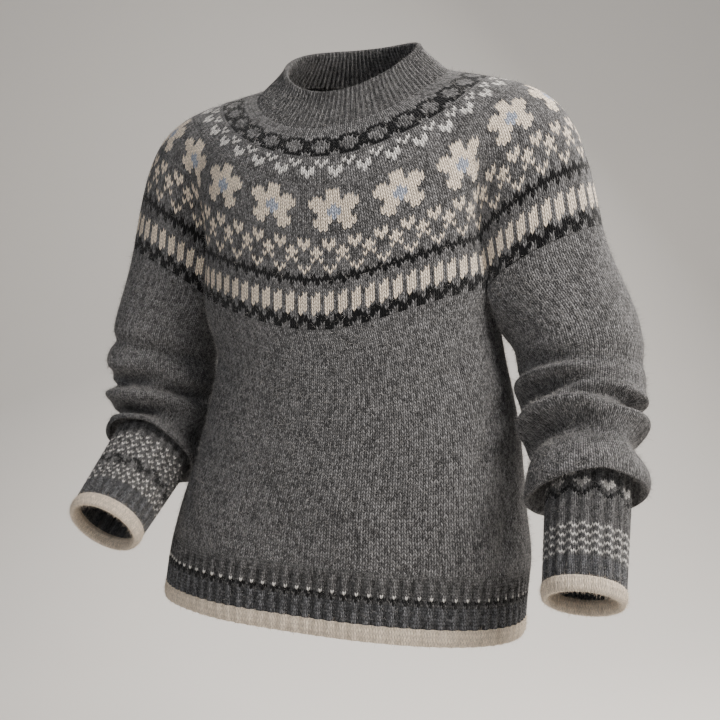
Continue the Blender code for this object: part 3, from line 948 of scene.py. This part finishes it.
INNER_COLUMNS, INNER_ROUNDS = 192, 18
INNER_TOP, INNER_END = 101, 102  # its rims' tags
share = np.linspace(0, 1, INNER_COLUMNS + 1)
share, down = np.broadcast_arrays(share, np.linspace(0, 1, INNER_ROUNDS + 1)[:, None])
outer_places = yoke_ring(share, down)
yoke_inside = knitted("yoke_inside", outer_places + inward(outer_places) * WALL,
                      share * YOKE_STITCHES[-1], down * YOKE_ROUNDS,
                      plain_yarn(INNER_ROUNDS, INNER_COLUMNS), flipped=True)
tag_rims(yoke_inside, INNER_COLUMNS + 1, INNER_TOP, INNER_END)

bands = yoke_bands()
band_pieces = []
for number, band in enumerate(bands):
    made = build_band(number, band)
    tag_rims(made, 2 * band.stitches + 1, 2 * number + 1, 2 * number + 2)
    band_pieces.append(made)

deselect()
for made in band_pieces + [yoke_inside]:
    made.select_set(True)
bpy.context.view_layer.objects.active = band_pieces[0]
bpy.ops.object.join()
yoke = bpy.context.object
yoke.name = yoke.data.name = "yoke_knit"
merge_seams(yoke)
for number in range(len(bands) - 1):
    bridge_rims(yoke, 2 * number + 2, 2 * number + 3)
bridge_rims(yoke, 1, INNER_TOP)
bridge_rims(yoke, 2 * len(bands), INNER_END)
yoke.data.attributes.remove(yoke.data.attributes["rim"])
smooth(yoke)
finish_piece(yoke, yoke_wool, "yoke_wool", "yoke")

# %% [markdown]
# ## The body
# The real body is knitted in one tube, so one piece stands for the frame's front and back. Plain
# stockinette needs no stitch of its own in the mesh: the material draws the Vs, and the grid only
# has to follow the folds.

# %% Body
BODY_ROUNDS = 69
BODY_WALES = {"front": 50.0, "back": 47.0}  # stitches from the middle to a side seam


def round_halves(columns):
    """Each half with its places, round from the right side seam over the front and the back."""
    for half, ends in (("front", (-1, 1)), ("back", (1, -1))):
        place = np.linspace(*ends, columns[half] + 1)
        yield half, place[:-1] if half == "front" else place


def build_body():
    columns, rows = 110, 96
    down = np.linspace(0, 1, rows + 1)[:, None]
    parts, wales = [], []
    for half, place in round_halves({"front": columns, "back": columns}):
        place = np.broadcast_to(place, (rows + 1, len(place)))
        top = torso_top(half, place) - LAP
        bottom = hem_level(RIB_TOP, torso(half, place, RIB_TOP + 0 * place)[..., 0]) + LAP
        parts.append(torso(half, place, top + (bottom - top) * down))
        across = place if half == "front" else 1 - place
        before = 0 if half == "front" else BODY_WALES["front"]
        wales.append(before + across * BODY_WALES[half])
    points = np.concatenate(parts, axis=1)
    points[:, -1] = points[:, 0]
    yarns = plain_yarn(rows, points.shape[1] - 1)
    piece = knitted("body_knit", points, np.concatenate(wales, axis=1), down * BODY_ROUNDS, yarns)
    return finish_walled(piece, heather_wool, "heather_wool", "front", "back")


body = build_body()

# %% [markdown]
# ## Ribs
# A rib is knit stitches standing forward and purl stitches sinking back, in columns. It pulls the edge
# of the garment in. Here the columns are real relief in the mesh, because their shadows show, and the
# purl columns also get painted shade: their colour is darkened.

# %% Rib helpers
def rib_relief(stitch, period, depth):
    """How far each stitch sinks in: 0 on the knit columns, depth in the purl ones."""
    wave = np.cos(2 * np.pi * (stitch - period / 4) / period)
    return depth * (0.5 - 0.5 * signed_power(wave, 0.7))


def shade_purl(yarns, period, amount):
    """Painted shade: purl columns lie in shadow, so their colour is darkened to the amount given."""
    shaded = yarns.copy()
    stitch = (np.arange(yarns.shape[1]) + 0.5) / 2
    purl = rib_relief(stitch, period, 1.0)
    shaded[..., :3] *= (1 - (1 - amount) * purl)[None, :, None]
    return shaded

def ribbed(name, points, levels, letters, depth, amount, node, fading=False):
    """Knits a tube of double rib. One that fades in goes from flat to full relief in four rounds."""
    stitch = np.arange(levels.shape[1]) / 2
    strength = ease(levels / 4) if fading else np.ones(levels.shape)
    points = points + inward(points) * (rib_relief(stitch, 4, depth) * strength)[..., None]
    points[:, -1] = points[:, 0]
    yarns = yarn_grid(letters)
    shown = ease(np.arange(len(letters)) / 4)[:, None, None] if fading else 1
    # Painted shade: the purl columns' colour is darkened, faded in with the relief on a rib that fades
    # in.
    yarns = yarns * (1 - shown) + shade_purl(yarns, 4, amount) * shown
    piece = knitted(name, points, stitch, levels + V_DEPTH / 2, yarns)
    return finish_walled(piece, rib_wool, "rib_wool", node)

# %% Hem rib
HEM_RIBS = {"front": 44, "back": 42}
HEM_STITCHES = 4 * sum(HEM_RIBS.values())
HEM_CHART = ["...."] * 7 + [".w..", "kkk.", ".k.."] + ["dddd"] * 6


def hem_grid(heights):
    """Points round the hem, one round for each height above the level hem."""
    parts = []
    for half, place in round_halves({name: 8 * ribs for name, ribs in HEM_RIBS.items()}):
        place, z = np.broadcast_arrays(place, heights)
        parts.append(torso(half, place, hem_level(z, torso(half, place, z)[..., 0])))
    points = np.concatenate(parts, axis=1)
    points[:, -1] = points[:, 0]
    return points


def build_hem_rib():
    rounds = len(HEM_CHART)
    levels = stitch_levels(0, rounds, HEM_STITCHES, rounds)
    points = hem_grid(RIB_TOP - LAP + (EDGE_TOP - RIB_TOP + 2 * LAP) * (levels[:, :1] / rounds))
    step = (EDGE_TOP - RIB_TOP) / rounds
    points[1:-1, :, 2] += step * (0.5 * (np.arange(2 * HEM_STITCHES + 1) % 2) - 0.25)
    letters = [row * (HEM_STITCHES // 4) for row in HEM_CHART]
    return ribbed("hem_rib_knit", points, levels, letters, 0.0027, 0.45, "hem_rib", fading=True)


hem_rib = build_hem_rib()

# %% [markdown]
# ## Rounded edges
# The cream edges and the neckband are thick and soft at the rim. Each is a grid that runs down the
# outer side, turns round the rim in a half circle and comes back up the inner side, so it closes on
# itself with no sharp corner.

# %% Rolled edge helpers
def rolled(surface, thickness, rounds, swell=0.0, upward=False):
    """Places of a closed band, its inward normals, and how far in from the outer side each round is.

    surface(level) gives a round's points, at levels from 0 to 1 at the rim.
    """
    turns = np.linspace(0, math.pi, 7)[1:-1]
    down, flat = np.linspace(0, 1, rounds + 1), np.zeros(rounds + 1)
    levels = np.concatenate([down, np.ones(len(turns)), down[::-1]])
    beyond = np.concatenate([flat, np.sin(turns), flat]) * thickness / 2
    inset = np.concatenate([flat, (1 - np.cos(turns)) / 2, flat + 1]) * thickness
    grid = np.stack([surface(level) for level in levels])
    onward = unit(grid - np.stack([surface(level - 0.02) for level in levels]))
    into = unit(np.cross(onward, way_round(grid))) * (1 if upward else -1)
    puff = swell * np.sin(np.pi * levels) * np.where(inset > thickness / 2, -1, 1)
    points = grid + onward * beyond[:, None, None] + into * (inset - puff)[:, None, None]
    return (np.concatenate([part, part[:1]]) for part in (points, into, inset))


def knit_rim(name, places, relief, course, yarns, wool, slot, node):
    """Knits a closed band whose ribs sink in by the relief."""
    points, into = places
    points = points + into * relief[..., None]
    courses = lengths_along(points[:, 0])[:, None] / course
    order = slice(None, None, -1 if node == "neckband" else 1)
    stitch = np.arange(points.shape[1]) / 2
    piece = knitted(name, points[order], stitch, courses[order], yarns)
    merge_seams(piece)
    smooth(piece, 80)
    return finish_piece(piece, wool, slot, node)

# %% Cream hem edge
def build_hem_edge():
    def ring(level):
        return hem_grid(np.array([[EDGE_TOP + (HEM_LOW + 0.002 - EDGE_TOP) * level]]))[0]

    points, into, inset = rolled(ring, 0.0052, 6, swell=0.0008)
    columns = points.shape[1] - 1
    relief = rib_relief(np.arange(columns + 1) / 2, 4, 0.0012) * (inset < 0.003)[:, None]
    yarns = plain_yarn(len(points) - 1, columns, "c")
    return knit_rim("hem_edge_knit", (points, into), relief, EDGE_COURSE, yarns,
                    cream_wool, "cream_wool", "hem_edge")


hem_edge = build_hem_edge()

# %% [markdown]
# ## The neckband
# The crew neck is a folded band of single rib, one knit and one purl. It flares from the rim out to
# the neck base, and its rim is round because the band is folded double.

# %% Neckband
NECK_STITCHES, NECK_THICKNESS = 208, 0.0068


def build_neckband():
    columns = 2 * NECK_STITCHES
    angles = np.linspace(-np.pi, np.pi, columns + 1)

    def ring(level):
        points = neckband_surface(angles, np.full(columns + 1, min(level, 1.0)))
        points[:, 2] += 2 * SEAM * min(1.0, max(0.0, 4 * level))
        points[-1] = points[0]
        return points

    points, into, inset = rolled(ring, NECK_THICKNESS, 18, upward=True)
    sides = np.cos(np.pi * inset / NECK_THICKNESS)
    relief = rib_relief(np.arange(columns + 1) / 2, 2, 0.0021) * sides[:, None]
    # Painted shade: the purl columns' colour is darkened.
    yarns = shade_purl(plain_yarn(len(points) - 1, columns), 2, 0.42)
    return knit_rim("neckband_knit", (points, into), relief, COURSE, yarns,
                    rib_wool, "rib_wool", "neckband")


neckband = build_neckband()

# %% [markdown]
# ## The sleeves
# Both sleeves are the same recipe with different creases, because they hang and bunch differently.

# %% Sleeves
SLEEVE_WALES = 86


def build_sleeve(side):
    columns, rows = 120, 150
    turn = np.linspace(-np.pi, np.pi, columns + 1)
    along = SEAM + (1 - SEAM) * np.linspace(0, 1, rows + 1) ** 0.94
    turn, along = np.broadcast_arrays(turn[None, :], along[:, None])
    points = sleeve_surface(side, turn, along)
    points[:, -1] = points[:, 0]
    wales = turn / (2 * np.pi) * SLEEVE_WALES + 0.5
    steps = np.linalg.norm(np.diff(points, axis=0), axis=-1).mean(axis=1)
    courses = np.append(0, np.cumsum(steps))[:, None] / COURSE
    yarns = plain_yarn(rows, columns)
    piece = knitted(f"sleeve_{side}_knit", points, wales, courses, yarns, flipped=side == "right")
    return finish_walled(piece, heather_wool, "heather_wool", f"sleeve_{side}")


sleeves = {side: build_sleeve(side) for side in SIDE}

# %% [markdown]
# ## The cuffs
# Each cuff has its own bands of colour in a double rib. Its cream end is a rolled edge.

# %% Cuff charts
CUFF_CHARTS = {
    "left": ["........"] * 7 + [
        "..w.w...",
        ".wwwww..",
        "..www..k",
        "k..w..kk",
        "kk...kk.",
        ".kk.kk..",
        "..kkk...",
    ] + ["........"] * 10 + ["w..ww..w", ".ww..ww.", "........"] * 4 + ["dddddddd"] * 7,
    "right": ["........"] * 7 + ["w...w...", "..w...w.", ".w...w..", "...w...w"] * 3 + [
        "kkk.....",
        ".kkk...k",
        "...kk.kk",
        "...kkkk.",
        "....k...",
    ] + ["..w...w.", "w...w...", "...w...w", ".w...w.."] * 2 + ["dddddddd"] * 9,
}
CUFF_STITCHES = {"left": 80, "right": 88}

# %% Cuffs
def cuff_length(side):
    return np.linalg.norm(np.subtract(CUFFS[side].end, CUFFS[side].top))


def build_cuff(side):
    stitches, length = CUFF_STITCHES[side], cuff_length(side)
    letters = [row * (stitches // 8) for row in CUFF_CHARTS[side]]
    levels = stitch_levels(0, len(letters), stitches, len(letters))
    first, last = 3 * SEAM / length, 1 - CUFF_EDGE / length
    turn = np.broadcast_to(np.linspace(-np.pi, np.pi, 2 * stitches + 1), levels.shape)
    points = cuff_surface(side, turn, first + (last - first) * levels / len(letters))
    if side == "right":
        points = points[:, ::-1]
    return ribbed(f"cuff_{side}_knit", points, levels, letters, 0.0024, 0.52, f"cuff_{side}")


def build_cuff_edge(side):
    columns, length = 2 * CUFF_STITCHES[side], cuff_length(side)
    turn = np.linspace(-np.pi, np.pi, columns + 1)

    def ring(level):
        share = 1 - CUFF_EDGE / length + (CUFF_EDGE - 0.003) / length * level
        points = cuff_surface(side, turn, np.full(columns + 1, share))
        if side == "right":
            points = points[::-1]
        points[-1] = points[0]
        return points

    points, into, inset = rolled(ring, 0.0062, 6, swell=0.0012)
    relief = rib_relief(np.arange(columns + 1) / 2, 2, 0.0008) * np.ones((len(inset), 1))
    yarns = plain_yarn(len(points) - 1, columns, "c")
    return knit_rim(f"cuff_edge_{side}_knit", (points, into), relief, EDGE_COURSE, yarns,
                    cream_wool, "cream_wool", f"cuff_edge_{side}")


cuffs = {side: build_cuff(side) for side in SIDE}
cuff_edges = {side: build_cuff_edge(side) for side in SIDE}

# %% [markdown]
# ## Fluff
# Brushed wool has a halo of loose fibres, which catches the light at the garment's outline. Blender's
# hair can draw it, but hair isn't part of a mesh. Here each fibre is its own closed spike with four
# faces, rooted just inside the cloth and leaning at random. The draw is seeded, so every run gives the
# same fluff. The spikes have a UV map of their own with one small cell for each.

# %% Fluff material
def fluff_material(name, colour):
    material, tree, shader = new_material(name, 0.85, 0.15)
    place = tree.nodes.new("ShaderNodeTexCoord").outputs["Object"]
    tone = noise(tree, place, 420.0, 2.0)
    ramp = tree.nodes.new("ShaderNodeValToRGB")
    for stop, position, share in zip(ramp.color_ramp.elements, (0.35, 0.68), (0.45, 1)):
        stop.position = position
        stop.color = (*(share * part for part in colour), 1)
    tree.links.new(tone, ramp.inputs[0])
    tree.links.new(ramp.outputs[0], shader.inputs["Base Color"])
    return material


grey_fluff = fluff_material("grey_fluff", (0.46, 0.44, 0.42))
cream_fluff = fluff_material("cream_fluff", (0.88, 0.76, 0.62))

# %% Fluff helper
FIBRE_RADIUS = 0.00016


def outer_squares(piece, faces):
    """The corners of a piece's first faces that have four sides. A wall's outer side comes first."""
    mesh = piece.data
    starts, totals = np.empty((2, len(mesh.polygons)), np.int32)
    mesh.polygons.foreach_get("loop_start", starts)
    mesh.polygons.foreach_get("loop_total", totals)
    corners = np.empty(len(mesh.loops), np.int32)
    mesh.loops.foreach_get("vertex_index", corners)
    places = np.empty(3 * len(mesh.vertices), np.float32)
    mesh.vertices.foreach_get("co", places)
    chosen = starts[:faces][totals[:faces] == 4]
    return places.reshape(-1, 3).astype(float)[corners[chosen[:, None] + np.arange(4)]]


def grow(squares, count, reach, chance):
    """Base corners and tips of fibres on some squares."""
    normals = np.cross(squares[:, 2] - squares[:, 0], squares[:, 3] - squares[:, 1])
    areas = np.linalg.norm(normals, axis=1)
    pick = chance.choice(len(areas), count, p=areas / areas.sum())
    u, v = chance.random((2, count, 1))
    a, b, c, d = squares[pick].transpose(1, 0, 2)
    root = (a * (1 - u) + b * u) * (1 - v) + (d * (1 - u) + c * u) * v
    out = unit(normals[pick])
    lean = np.radians(chance.uniform(12, 80, (count, 1)))
    way = out * np.cos(lean) + unit(np.cross(out, chance.normal(size=(count, 3)))) * np.sin(lean)
    length = reach * np.clip(0.35 + chance.gamma(2.0, 0.33, (count, 1)), 0.4, 2.4)
    across = unit(np.cross(way, chance.normal(size=(count, 3))))
    other = np.cross(way, across)
    corners = [root - way * 0.0006 + FIBRE_RADIUS * (across * math.cos(turn) + other * math.sin(turn))
               for turn in (0, 2 * math.pi / 3, 4 * math.pi / 3)]
    return np.stack(corners + [root + way * length], axis=1)


def fluff(name, sources, seed, material, slot):
    chance = np.random.default_rng(seed)
    fibres = [grow(outer_squares(*source[:2]), *source[2:], chance) for source in sources]
    fibres = np.concatenate(fibres)
    faces = np.array([(0, 2, 1), (0, 1, 3), (1, 2, 3), (2, 0, 3)])
    faces = (faces + 4 * np.arange(len(fibres))[:, None, None]).reshape(-1, 3)
    mesh = bpy.data.meshes.new(name)
    mesh.from_pydata(fibres.reshape(-1, 3), [], faces)
    cells = math.ceil(math.sqrt(len(fibres)))
    number = np.arange(len(fibres))
    cell = np.stack([number % cells, number // cells], axis=-1)[:, None, None, :]
    corner = np.array([(0.1, 0.1), (0.9, 0.1), (0.5, 0.9)])
    places = np.broadcast_to((cell + corner) / cells, (len(fibres), 4, 3, 2))
    mesh.uv_layers.new(name="OFBake").data.foreach_set("uv", places.astype(np.float32).reshape(-1))
    mesh.materials.append(material)
    mesh.update()
    piece = bpy.data.objects.new(name, mesh)
    bpy.context.scene.collection.objects.link(piece)
    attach(piece, "root")
    print(f"{name}: {len(fibres)} fibres")

# %% Growing the fluff
def outer_half(piece):
    """A little less than half of a walled piece's faces: those of its outer side."""
    return len(piece.data.polygons) * 49 // 100


# Each source is a piece, how many of its faces to use, the number of fibres and their length.
yoke_faces = sum(2 * band.stitches * len(band.letters) for band in bands)
fluff("yoke_fluff", [(yoke, yoke_faces, 25000, 0.0042), (neckband, None, 9000, 0.0028)],
      11, grey_fluff, "yoke_wool")
fluff("body_fluff", [(body, outer_half(body), 23000, 0.0044),
                     (hem_rib, outer_half(hem_rib), 5000, 0.0028)],
      12, grey_fluff, "heather_wool")
for seed, side in enumerate(SIDE, 13):
    sleeve, cuff = sleeves[side], cuffs[side]
    fluff(f"sleeve_{side}_fluff", [(sleeve, outer_half(sleeve), 13000, 0.0046),
                                   (cuff, outer_half(cuff), 3500, 0.0028)],
          seed, grey_fluff, "heather_wool")
fluff("cream_edge_fluff", [(hem_edge, None, 10000, 0.0036)]
      + [(cuff_edges[side], None, 3500, 0.0034) for side in SIDE],
      15, cream_fluff, "cream_wool")

# %% [markdown]

# %% [markdown]
# ## Stage, light and camera
# The sweater hangs filled out in front of a plain pale sweep. The main light is soft and comes from
# the wearer's left. Two from behind pick out the wool's fluff, and a weak one fills the front.

# %% Stage
VIEW = math.radians(20)  # the camera and the sweep are turned this far to the wearer's left


def add_sweep():
    """A pale floor that curves up into a wall."""
    deselect()
    bpy.ops.mesh.primitive_grid_add(x_subdivisions=2, y_subdivisions=40, size=1)
    sweep = bpy.context.object
    sweep.name = sweep.data.name = "floor_sweep"
    floor, radius, flat = -1.15, 1.2, 1.4
    width, length, near = 12, 8.0, 3.5
    sin, cos = math.sin(VIEW), math.cos(VIEW)
    for vertex in sweep.data.vertices:
        run = (vertex.co.y + 0.5) * length - near
        bend = min(max((run - flat) / radius, 0.0), math.pi / 2)
        depth = min(run, flat) + radius * math.sin(bend)
        rise = radius * (1 - math.cos(bend)) + max(run - flat - radius * math.pi / 2, 0)
        side = vertex.co.x * width
        vertex.co = (side * cos - depth * sin, side * sin + depth * cos, floor + rise)
    smooth(sweep, 60)
    paint, _, shader = new_material("pale_paper", 0.9, 0.5)
    shader.inputs["Base Color"].default_value = (0.62, 0.60, 0.57, 1)
    sweep.data.materials.append(paint)


add_sweep()

# %% Lights
def add_light(name, azimuth, elevation, distance, size, watts, colour):
    """A soft square light that looks at the sweater's middle.

    Azimuth 0 is in front, and positive to the wearer's left.
    """
    turn, tilt = math.radians(azimuth), math.radians(elevation)
    away = (math.sin(turn) * math.cos(tilt), -math.cos(turn) * math.cos(tilt), math.sin(tilt))
    data = bpy.data.lights.new(name, "AREA")
    data.size = size
    data.energy = watts
    data.color = colour
    light = bpy.data.objects.new(name, data)
    light.location = (away[0] * distance, away[1] * distance, away[2] * distance - 0.3)
    light.rotation_euler = (math.pi / 2 - tilt, 0, turn)
    bpy.context.scene.collection.objects.link(light)


add_light("key", 66, 36, 2.2, 0.9, 86, (1.0, 0.96, 0.92))
add_light("front_fill", -6, 16, 2.6, 1.8, 21, (0.96, 0.97, 1.0))
add_light("back_left", -142, 30, 2.3, 0.8, 40, (1.0, 0.95, 0.90))
add_light("back_right", 140, 36, 2.2, 0.8, 84, (1.0, 0.95, 0.90))

world = bpy.data.worlds.new("soft_room")
world.use_nodes = True
background = world.node_tree.nodes["Background"]
background.inputs["Color"].default_value = (0.80, 0.82, 0.86, 1)
background.inputs["Strength"].default_value = 0.22
bpy.context.scene.world = world

# %% Camera
DISTANCE = 1.22
lens = bpy.data.cameras.new("camera")
lens.lens = 48.8
lens.sensor_width = 36
lens.shift_x = 0.0111
lens.clip_start = 0.05
camera = bpy.data.objects.new("camera", lens)
camera.location = (math.sin(VIEW) * DISTANCE, -math.cos(VIEW) * DISTANCE, -0.32)
camera.rotation_euler = (math.pi / 2, 0, VIEW)
bpy.context.scene.collection.objects.link(camera)
bpy.context.scene.camera = camera
